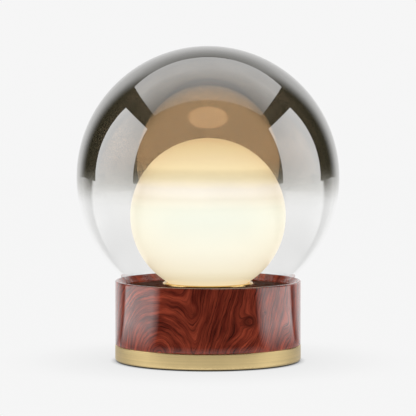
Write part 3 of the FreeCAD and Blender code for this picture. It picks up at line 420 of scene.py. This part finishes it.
LINES_PER_STEP = 1.25  # growth lines in one step of the figure
SWAYS = ((34.0, 13.0), (150.0, 2.2))  # how tight each wander of the lines is, and how wide in millimetres
LEAN, LEAN_START = 0.29, 3.6  # slant of the straight figure, and its step at the front
JOIN = 1.6  # how softly the arch runs into the straight figure, in steps
PIN_KNOT = (math.radians(36.6), 0.054)
FRONT_SWIRL = (math.radians(-9), 0.053)
# how dark a growth line is from one line to the next
LINE_SHAPE = ((0.0, 1.0), (0.09, 0.65), (0.2, 0.16), (0.55, 0.0), (0.88, 0.08), (0.96, 0.95))


def lacquered_wood(look):
    """Red wood with an arch, knots, dark growth lines and fine pores under a thick clear lacquer."""
    f = Finish("red_wood")
    x, y, z = f.axes(f.place)
    turn = f.math("ARCTAN2", x, f.times(y, -1.0))
    unit = look.spacing * 1000 * LINES_PER_STEP
    across = f.times(turn, COLLAR_RADIUS * 1000)
    up = f.times(z, 1000.0)
    wave_at = f.stretched(1.0, 1.0, 0.6)
    for scale, sway in SWAYS:
        drift = f.minus(f.noise(wave_at, scale, detail=2.0, roughness=0.5), 0.5)
        lift = f.minus(f.noise(f.vector("ADD", wave_at, (7, 3, 5)), scale, detail=2.0), 0.5)
        across = f.plus(across, f.times(drift, sway))
        up = f.plus(up, f.times(lift, sway * 0.8))

    arch = on_wall(look.arch, look.arch_height)
    knot = on_wall(look.knot, look.knot_height)
    from_arch = f.point(f.minus(across, arch[0]), f.minus(up, arch[1] - 3))
    arched = f.over(f.vector("LENGTH", from_arch), unit)
    leaning = f.minus(across, f.times(up, LEAN))
    leaning = f.minus(LEAN_START, f.over(leaning, unit))
    growth = f.add("ShaderNodeMath", {0: arched, 1: leaning, 2: JOIN}, operation="SMOOTH_MIN").outputs[0]
    # knots and swirls: where, half width and half height in millimetres, and how many lines they raise
    for at, wide, tall, size in (
        (knot, 5.5, 5.0, 3.6),
        ((knot[0] - 3, knot[1] - 11), 16, 13, 2.2),
        (on_wall(*PIN_KNOT), 2.6, 2.6, 1.2),
        ((arch[0] + 18, arch[1] - 2), 3.4, 3.0, 1.6),
        (on_wall(*FRONT_SWIRL), 7, 9, 1.4),
        (on_wall(math.radians(62), 0.038), 12, 20, 2.8),
        (on_wall(math.radians(118), 0.05), 18, 20, 4.4),
        (on_wall(math.radians(150), 0.03), 9, 9, 3.0),
        (on_wall(math.radians(-112), 0.034), 22, 26, 5.2),
        (on_wall(math.radians(-150), 0.058), 8, 9, -3.2),
    ):
        growth = f.plus(growth, hump(f, across, up, at, wide, tall, size))
    growth = f.times(growth, LINES_PER_STEP)

    def along(lines, length):
        """Noise drawn out along the growth lines."""
        up_line, round_line = f.times(up, length), f.times(across, length)
        spot = f.point(f.times(growth, lines), up_line, round_line)
        return f.noise(spot, 1.0, detail=3.0, roughness=0.6)

    band = f.math("FRACT", growth)
    line = f.ramp(band, [(at, (dark,) * 3) for at, dark in LINE_SHAPE])
    order = f.math("FLOOR", growth)
    weight_at = f.point(*(f.times(part, by) for part, by in ((order, 3.7), (up, 0.035), (across, 0.035))))
    weight = f.spread(f.noise(weight_at, 1.0, detail=2.0), 0.4, 0.62, 0.06, 1.0)
    line = f.times(line, weight)
    hair = f.spread(along(6.0, 0.05), 0.50, 0.66)
    pore = f.spread(along(18.0, 0.16), 0.56, 0.7)
    tone = f.spread(along(0.8, 0.035), 0.34, 0.66)
    heart = hump(f, across, up, (6.0, 70.0), 34, 44, 0.5)
    smoky = f.spread(along(1.7, 0.05), 0.55, 0.78, 0.0, 0.55)
    knot_out, knot_in = hump(f, across, up, knot, 4.6, 4.2, 1.0), hump(f, across, up, knot, 2.9, 2.6, 1.15)
    ring = f.minus(knot_out, knot_in, clamp=True)
    pin_knot = hump(f, across, up, on_wall(*PIN_KNOT), 1.6, 1.6, 0.8)
    spots = f.plus(pin_knot, hump(f, across, up, on_wall(*FRONT_SWIRL), 2.2, 3.0, 0.5))

    body = f.blend(tone, look.deep, look.light)
    body = f.blend(f.plus(heart, 0.0, clamp=True), body, look.deep)
    body = f.blend(smoky, body, look.deep)
    for dark, share_of in ((hair, 0.55), (pore, 0.5), (line, 1.0), (ring, 1.6), (spots, 0.9)):
        body = f.blend(f.times(dark, share_of, clamp=True), body, look.vein)
    sheen = f.spread(tone, 0.0, 1.0, 0.4, 0.52)
    skin = f.bump(f.noise(f.place, 160.0, detail=2.0), 0.02, 0.0004)
    grain = f.bump(f.minus(1.0, pore), 0.12, 0.0001)
    return f.done(
        f.principled(
            base_color=body,
            roughness=sheen,
            normal=grain,
            specular_ior_level=0.05,
            coat_weight=1.0,
            coat_roughness=0.035,
            coat_ior=look.lacquer_gloss,
            coat_normal=skin,
        )
    )


# ---------------------------------------------------------------- metals, plastics and rubber


def brushed_metal(name, tone, roughness, across=(8, 8, 5200)):
    """Metal brushed one way: fine lines, long soft streaks and slightly dulled patches."""
    f = Finish(name)
    hair = f.noise(f.stretched(*across), 1.0, detail=5.0, roughness=0.7)
    streak = f.noise(f.stretched(*(v * 0.22 for v in across)), 1.0, detail=2.0)
    dull = f.noise(f.place, 45.0, detail=4.0)
    lines = f.plus(f.times(hair, 0.6), f.times(streak, 0.4))
    shade = f.spread(lines, 0.35, 0.65)
    tone_low = darker(tone, 0.72)
    skin = f.blend(shade, tone_low, tone)
    skin = f.blend(f.spread(dull, 0.5, 0.8, 0.0, 0.25), skin, tone_low)
    matt = f.spread(lines, 0.3, 0.7, roughness - 0.06, roughness + 0.06)
    matt = f.plus(matt, f.spread(dull, 0.4, 0.8, 0.0, 0.05))
    skin_bump = f.bump(hair, 0.35, 0.00006)
    return f.done(f.principled(base_color=skin, metallic=1.0, roughness=matt, normal=skin_bump))


def polished_metal(name, tone, roughness=0.16):
    """Turned and polished metal with fine tooling and a few dulled patches."""
    f = Finish(name)
    tooling = f.noise(f.stretched(30, 30, 3200), 1.0, detail=3.0)
    dull = f.noise(f.place, 90.0, detail=4.0, roughness=0.6)
    skin = f.blend(f.spread(dull, 0.45, 0.75), tone, darker(tone, 0.8))
    matt = f.spread(dull, 0.35, 0.75, roughness, roughness + 0.12)
    skin_bump = f.bump(tooling, 0.15, 0.00003)
    return f.done(f.principled(base_color=skin, metallic=1.0, roughness=matt, normal=skin_bump))


def moulded(name, tone, roughness=0.45, grain=1400.0):
    """Moulded plastic or rubber: fine spark-eroded grain, faint flow marks and dust."""
    f = Finish(name)
    pebble = f.noise(f.place, grain, detail=3.0)
    flow = f.noise(f.stretched(1, 1, 0.3), 60.0, detail=3.0)
    skin = f.blend(f.spread(flow, 0.35, 0.7), tone, darker(tone, 0.78))
    matt = f.spread(pebble, 0.3, 0.7, roughness - 0.07, roughness + 0.08)
    return f.done(f.principled(base_color=skin, roughness=matt, normal=f.bump(pebble, 0.3, 0.00012)))


def board(name, mask, copper):
    """Printed board: solder mask over faint tracks on a small grid."""
    f = Finish(name)
    tracks = {"Color1": (0, 0, 0), "Color2": (1, 1, 1), "Mortar": (0.5, 0.5, 0.5), "Mortar Size": 0.12}
    grid = f.add("ShaderNodeTexBrick", {"Vector": f.place, "Scale": 260.0, **tracks}).outputs[0]
    fibre = f.noise(f.place, 700.0, detail=3.0)
    skin = f.blend(f.times(grid, 0.35), mask, copper)
    skin = f.blend(f.spread(fibre, 0.4, 0.7, 0.0, 0.3), skin, darker(mask, 0.6))
    matt = f.spread(fibre, 0.3, 0.7, 0.28, 0.42)
    return f.done(f.principled(base_color=skin, roughness=matt, normal=f.bump(grid, 0.2, 0.0001)))


def lit_phosphor(name, tone, strength):
    """Yellow phosphor, glowing, with its grains."""
    f = Finish(name)
    grains = f.noise(f.place, 2600.0, detail=2.0)
    skin = f.blend(f.spread(grains, 0.3, 0.7), tone, darker(tone, 0.8))
    matt = f.spread(grains, 0.3, 0.7, 0.4, 0.6)
    glow = {"emission_color": skin, "emission_strength": strength}
    return f.done(f.principled(base_color=skin, roughness=matt, normal=f.bump(grains, 0.2, 0.0001), **glow))


def see_through(name, tone, passes, roughness=0.25):
    """Frosted clear plastic or silicone."""
    f = Finish(name)
    haze = f.noise(f.place, 320.0, detail=3.0)
    skin = f.blend(f.spread(haze, 0.35, 0.7), tone, darker(tone, 0.88))
    matt = f.spread(haze, 0.3, 0.7, roughness - 0.06, roughness + 0.1)
    body = f.principled(base_color=skin, roughness=matt, normal=f.bump(haze, 0.1, 0.0001))
    return f.done(f.mixed(1.0 - passes, f.clear(tone), body))


# ---------------------------------------------------------------- operators


class LAMP_OT_smoked_globe(bpy.types.Operator):
    """Gives the outer globe its clear glass and fading smoke coat"""

    bl_idname = "lamp.smoked_globe"
    bl_label = "Smoked Globe"

    def execute(self, context):
        wear("smoked_globe", smoked_glass(context.scene.lamp.glass))
        return {"FINISHED"}


class LAMP_OT_opal_globe(bpy.types.Operator):
    """Gives the inner globe its lit opal glass"""

    bl_idname = "lamp.opal_globe"
    bl_label = "Opal Globe"

    def execute(self, context):
        wear("opal_globe", opal_glass(context.scene.lamp.opal))
        return {"FINISHED"}


class LAMP_OT_wood_collar(bpy.types.Operator):
    """Gives the collar its figured red wood and lacquer, and the deck inside it its finish"""

    bl_idname = "lamp.wood_collar"
    bl_label = "Wood Collar"

    def execute(self, context):
        wear("wood_collar", lacquered_wood(context.scene.lamp.wood))
        wear("deck_plate", moulded("deck_finish", (0.10, 0.036, 0.018), 0.34, 900.0))
        return {"FINISHED"}


class LAMP_OT_brass_foot(bpy.types.Operator):
    """Gives the foot and rear panel their brushed brass, the button its polished brass, and the foot its
    rubber pad
    """

    bl_idname = "lamp.brass_foot"
    bl_label = "Brass Foot"

    def execute(self, context):
        look = context.scene.lamp.brass
        dress(brushed_metal("brushed_brass", look.brushed, look.roughness), "foot_pan", "rear_panel")
        wear("power_button", polished_metal("button_brass", look.polished, 0.2))
        wear("foot_pad", moulded("pad_rubber", (0.012, 0.012, 0.012), 0.7, 700.0))
        return {"FINISHED"}


class LAMP_OT_gallery(bpy.types.Operator):
    """Finishes the brass ring, the seals and the sleeves that hold the two globes"""

    bl_idname = "lamp.gallery"
    bl_label = "Gallery Ring"

    def execute(self, context):
        look = context.scene.lamp.brass
        wear("gallery_ring", polished_metal("gallery_brass", look.polished))
        wear("gallery_sleeve", see_through("clear_silicone", (0.9, 0.9, 0.88), 0.55))
        wear("globe_gasket", moulded("gasket_rubber", (0.11, 0.036, 0.018), 0.4, 800.0))
        wear("deck_grommet", moulded("black_rubber", (0.015, 0.015, 0.015), 0.62, 800.0))
        return {"FINISHED"}


class LAMP_OT_light_engine(bpy.types.Operator):
    """Finishes the post, board, chips and dome that light the inner globe"""

    bl_idname = "lamp.light_engine"
    bl_label = "Light Engine"

    def execute(self, context):
        wear("led_post", polished_metal("post_aluminium", (0.72, 0.73, 0.74), 0.28))
        wear("led_board", board("white_board", (0.75, 0.75, 0.72), (0.6, 0.6, 0.56)))
        wear("led_chips", lit_phosphor("led_phosphor", (0.95, 0.75, 0.25), 2.0))
        wear("led_dome", see_through("dome_plastic", (0.95, 0.93, 0.88), 0.4, 0.4))
        return {"FINISHED"}


class LAMP_OT_power_pack(bpy.types.Operator):
    """Finishes the battery cells, their tray and their tabs"""

    bl_idname = "lamp.power_pack"
    bl_label = "Power Pack"

    def execute(self, context):
        wear("battery_tray", moulded("tray_plastic", (0.03, 0.03, 0.032), 0.5))
        wear("battery_cells", moulded("cell_sleeve", (0.03, 0.12, 0.32), 0.3, 300.0))
        wear("battery_tabs", brushed_metal("nickel", (0.62, 0.6, 0.56), 0.3, (900, 8, 900)))
        return {"FINISHED"}


class LAMP_OT_electronics(bpy.types.Operator):
    """Finishes the boards, their parts and the rear socket"""

    bl_idname = "lamp.electronics"
    bl_label = "Electronics"

    def execute(self, context):
        green = board("green_board", (0.012, 0.11, 0.04), (0.12, 0.3, 0.09))
        dress(green, "control_board", "switch_board", "usb_board")
        wear("driver_inductor", moulded("ferrite", (0.045, 0.045, 0.048), 0.6, 500.0))
        wear("board_capacitors", brushed_metal("capacitor_can", (0.7, 0.71, 0.72), 0.25, (9, 9, 1800)))
        wear("board_chips", moulded("chip_black", (0.018, 0.018, 0.018), 0.5))
        wear("board_connectors", moulded("connector_white", (0.72, 0.7, 0.64), 0.4))
        wear("port_carrier", moulded("carrier_plastic", (0.03, 0.03, 0.032), 0.45))
        wear("tact_switch", moulded("switch_plastic", (0.02, 0.02, 0.022), 0.4))
        pressed_spring(polished_metal("spring_steel", (0.55, 0.55, 0.56), 0.22))
        wear("charge_light", see_through("light_pipe", (0.93, 0.95, 0.95), 0.45, 0.15))
        wear("usb_socket", brushed_metal("socket_steel", (0.6, 0.6, 0.61), 0.25, (900, 9, 900)))
        wear("usb_tongue", moulded("socket_black", (0.015, 0.015, 0.015), 0.35))
        wear("charge_led", lit_phosphor("led_white", (0.9, 0.88, 0.8), 0.6))
        return {"FINISHED"}


class LAMP_OT_fixings(bpy.types.Operator):
    """Finishes the screws, inserts, clamp and standoffs"""

    bl_idname = "lamp.fixings"
    bl_label = "Fixings"

    def execute(self, context):
        zinc = brushed_metal("zinc_steel", (0.62, 0.64, 0.66), 0.28, (700, 700, 700))
        dress(zinc, "foot_screws", "post_screws", "battery_clamp", "clamp_screws")
        dress(zinc, "board_screws", "carrier_screws")
        dress(polished_metal("insert_brass", (0.8, 0.62, 0.3), 0.22), "wood_inserts", "board_standoffs")
        wear("deck_screws", polished_metal("black_steel", (0.05, 0.05, 0.052), 0.3))
        return {"FINISHED"}


class LAMP_OT_leads(bpy.types.Operator):
    """Finishes the wires between the battery, boards and light"""

    bl_idname = "lamp.leads"
    bl_label = "Leads"

    def execute(self, context):
        for name, tone, roughness, leads in (
            ("lead_red", (0.5, 0.02, 0.015), 0.35, ("light_lead_red", "battery_lead_red")),
            ("lead_black", (0.015, 0.015, 0.015), 0.35, ("light_lead_black", "battery_lead_black")),
            ("lead_grey", (0.22, 0.22, 0.22), 0.4, ("port_leads", "switch_leads")),
        ):
            dress(moulded(name, tone, roughness, 500.0), *leads)
        return {"FINISHED"}


def pressed_spring(material):
    """The button's spring, as its own copy of the CAD piece, fixed to the lamp's base."""
    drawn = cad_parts["button_spring"]
    spring = bpy.data.objects.new("coil_spring", drawn.data.copy())
    spring.matrix_world = drawn.matrix_world
    bpy.context.scene.collection.objects.link(spring)
    spring.data.materials.clear()
    spring.data.materials.append(material)
    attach(spring, "lamp_base")
    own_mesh(spring)
    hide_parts("button_spring")


# ---------------------------------------------------------------- floor, light and camera


def add_quad(name, corners, material):
    """A flat piece of the studio with four corners."""
    mesh = bpy.data.meshes.new(name)
    mesh.from_pydata(corners, [], [(0, 1, 2, 3)])
    mesh.materials.append(material)
    piece = bpy.data.objects.new(name, mesh)
    bpy.context.scene.collection.objects.link(piece)
    return piece


# painted shadow on the glowing floor, from ambient occlusion: how far a shade reaches over the floor, the
# most open it may be, and its light at its darkest and lightest
CONTACT_SHADE = (0.012, (0.0, 0.75), (0.0, 1.0))
SOFT_SHADE = (0.12, (0.35, 1.0), (0.86, 1.0))
OPEN_FLOOR = (0.25, 0.4)  # from the lamp's axis; no shade past it
# the paper that polished parts mirror: its range from the lamp's axis, its turn from the front, its light
NEAR_RANGE, NEAR_LIGHT, NEAR_SIDES, NEAR_SIDE_SHARE = (0.17, 0.28), 1.3, (0.7, 1.2), 0.55
SIDE_RANGE, SIDE_LIGHT, SIDE_START, SIDE_END = (0.22, 0.44), (0.3, 2.0), (1.0, 1.2), (2.02, 2.1)
BACK_START = (2.12, 2.42)


def paper_floor(look):
    """White studio paper that glows, with a painted shadow round the lamp's foot. Polished parts mirror it
    near, beside and behind the lamp, but not in front.
    """
    f = Finish("paper_floor")
    x, y, _ = f.axes(f.place)
    away = f.vector("LENGTH", f.place)
    turn = f.math("ARCTAN2", f.math("ABSOLUTE", x), f.times(y, -1.0))
    near = f.spread(away, *NEAR_RANGE, NEAR_LIGHT, 0.0)
    near = f.times(near, f.spread(turn, *NEAR_SIDES, 1.0, NEAR_SIDE_SHARE))
    beside = f.times(f.spread(turn, *SIDE_START), f.spread(turn, *SIDE_END, 1.0, 0.0))
    beside = f.times(beside, f.spread(away, *SIDE_RANGE, *SIDE_LIGHT))
    behind = f.spread(turn, *BACK_START)
    kept = f.math("MAXIMUM", near, f.math("MAXIMUM", beside, behind))
    mirrored = f.add("ShaderNodeLightPath").outputs["Is Glossy Ray"]
    lit = f.minus(1.0, f.times(mirrored, f.minus(1.0, kept)))
    open_floor = f.spread(away, *OPEN_FLOOR)
    # painted shadow: ambient occlusion darkens the glowing paper round the lamp's foot
    for reach, openness, light in (CONTACT_SHADE, SOFT_SHADE):
        shade = f.add("ShaderNodeAmbientOcclusion", {"Distance": reach}, samples=12).outputs["AO"]
        lit = f.times(lit, f.spread(f.math("MAXIMUM", shade, open_floor), *openness, *light))
    tooth = f.noise(f.place, 900.0, detail=2.0)
    paper = f.blend(f.spread(tooth, 0.3, 0.7), (1, 1, 1), (0.995, 0.995, 0.995))
    return f.done(f.glowing(f.times(lit, look.paper), paper))


def softbox(name, corners, strength, front_share, front, full):
    """A softbox seen only by the lamp, from its lit side, and dimmer towards the front."""
    f = Finish(name)
    dim = f.spread(f.axes(f.place)[1], front, full, front_share * strength, strength)
    back = f.add("ShaderNodeNewGeometry").outputs["Backfacing"]
    cloth = f.spread(f.noise(f.place, 3.0, detail=2.0), 0.3, 0.7, 0.96, 1.04)
    lamp_side = f.glowing(f.times(cloth, dim))
    panel = add_quad(name, corners, f.done(f.mixed(back, lamp_side, f.clear())))
    panel.visible_camera = False


WALL_FADE, WALL_TOP = math.radians(26), math.radians(46)  # how high the wall behind the lamp reaches
WALL_SIDES = (math.radians(25), math.radians(47))  # from straight behind the lamp to where the wall has faded


def surroundings(look):
    """White paper all round for the camera. Behind the lamp it is also mirrored and lights the lamp."""
    world = bpy.data.worlds.new("surroundings")
    bpy.context.scene.world = world
    f = Finish("surroundings", world)
    x, y, z = f.axes(f.place)
    low, high = math.sin(WALL_FADE), math.sin(WALL_TOP)
    up = f.times(f.spread(z, low, high, 1.0, 0.5), f.math("LESS_THAN", z, high))
    turn = f.math("ARCTAN2", f.math("ABSOLUTE", x), y)
    wall = f.times(up, f.spread(turn, *WALL_SIDES, 1.0, 0.0, smooth=True))
    seen = f.math("MAXIMUM", wall, f.add("ShaderNodeLightPath").outputs["Is Camera Ray"])
    light = {"Color": (1, 1, 1), "Strength": f.times(seen, look.paper)}
    f.done(f.add("ShaderNodeBackground", light).outputs[0])


# softbox edges from the globe's centre, as shares of the softbox distance
SIDE_FRONT, SIDE_BACK, SIDE_BELOW, SIDE_ABOVE = -0.47, 0.375, 0.24, 0.83
TOP_HALF_WIDTH, TOP_FRONT, TOP_BACK, TOP_FULL = 0.85, -0.36, 0.8, 0.35
SIDE_FRONT_SHARE, TOP_FRONT_SHARE = 0.7, 0.2  # how bright each is at its front edge
FLOOR_HALF, FLOOR_GAP = 3.0, 0.01


class LAMP_OT_stage(bpy.types.Operator):
    """Adds the floor, the softboxes, the surroundings and the camera"""

    bl_idname = "lamp.stage"
    bl_label = "Stage and Camera"

    def execute(self, context):
        look = context.scene.lamp.stage
        context.scene.view_settings.view_transform = "Standard"
        surroundings(look)
        turns = ((-1, -1), (1, -1), (1, 1), (-1, 1))
        add_quad("floor", [(x * FLOOR_HALF, y * FLOOR_HALF, 0) for x, y in turns], paper_floor(look))
        far, mid = look.reach, GLOBE_CENTRE.z
        low, high = max(FLOOR_GAP, mid - SIDE_BELOW * far), mid + SIDE_ABOVE * far
        front, back = SIDE_FRONT * far, SIDE_BACK * far
        for name, side in (("softbox_left", -1), ("softbox_right", 1)):
            x = side * far
            corners = [(x, front, low), (x, back, low), (x, back, high), (x, front, high)]
            facing = corners[::-1] if side > 0 else corners
            softbox(name, facing, look.side_light, SIDE_FRONT_SHARE, front, back)
        half, front, back, top = TOP_HALF_WIDTH * far, TOP_FRONT * far, TOP_BACK * far, mid + far
        corners = [(-half, back, top), (half, back, top), (half, front, top), (-half, front, top)]
        softbox("softbox_top", corners, look.top_light, TOP_FRONT_SHARE, front, TOP_FULL * far)

        lens = bpy.data.cameras.new("camera")
        lens.lens, lens.sensor_width = look.lens, 36.0
        camera = bpy.data.objects.new("camera", lens)
        context.scene.collection.objects.link(camera)
        camera.location = (0, -look.camera_distance, look.camera_height)
        aim = Vector((0, 0, look.aim_height)) - camera.location
        camera.rotation_euler = aim.to_track_quat("-Z", "Y").to_euler()
        context.scene.camera = camera
        return {"FINISHED"}


OPERATORS = (
    LAMP_OT_smoked_globe,
    LAMP_OT_opal_globe,
    LAMP_OT_wood_collar,
    LAMP_OT_brass_foot,
    LAMP_OT_gallery,
    LAMP_OT_light_engine,
    LAMP_OT_power_pack,
    LAMP_OT_electronics,
    LAMP_OT_fixings,
    LAMP_OT_leads,
    LAMP_OT_stage,
)


class LAMP_PT_panel(bpy.types.Panel):
    """Lists the lamp's pieces and settings"""

    bl_idname = "LAMP_PT_panel"
    bl_label = "Globe Table Lamp"
    bl_space_type = "VIEW_3D"
    bl_region_type = "UI"
    bl_category = "Lamp"

    def draw(self, context):
        for operator in OPERATORS:
            self.layout.operator(operator.bl_idname)
        for group in ("glass", "opal", "wood", "brass", "stage"):
            look = getattr(context.scene.lamp, group)
            box = self.layout.box()
            for name in look.bl_rna.properties.keys():
                if name not in ("rna_type", "name"):
                    box.prop(look, name)


CLASSES = (
    SmokedGlassSettings,
    OpalGlassSettings,
    WoodSettings,
    BrassSettings,
    StageSettings,
    LampSettings,
    *OPERATORS,
    LAMP_PT_panel,
)


def register():
    """Registers the settings, operators and panel."""
    for made in CLASSES:
        bpy.utils.register_class(made)
    bpy.types.Scene.lamp = PointerProperty(type=LampSettings)


def unregister():
    """Takes them out again."""
    del bpy.types.Scene.lamp
    for made in reversed(CLASSES):
        bpy.utils.unregister_class(made)


def main():
    """Makes the whole scene."""
    register()
    for operator in OPERATORS:
        group, name = operator.bl_idname.split(".")
        getattr(getattr(bpy.ops, group), name)()


if __name__ == "__main__":
    main()
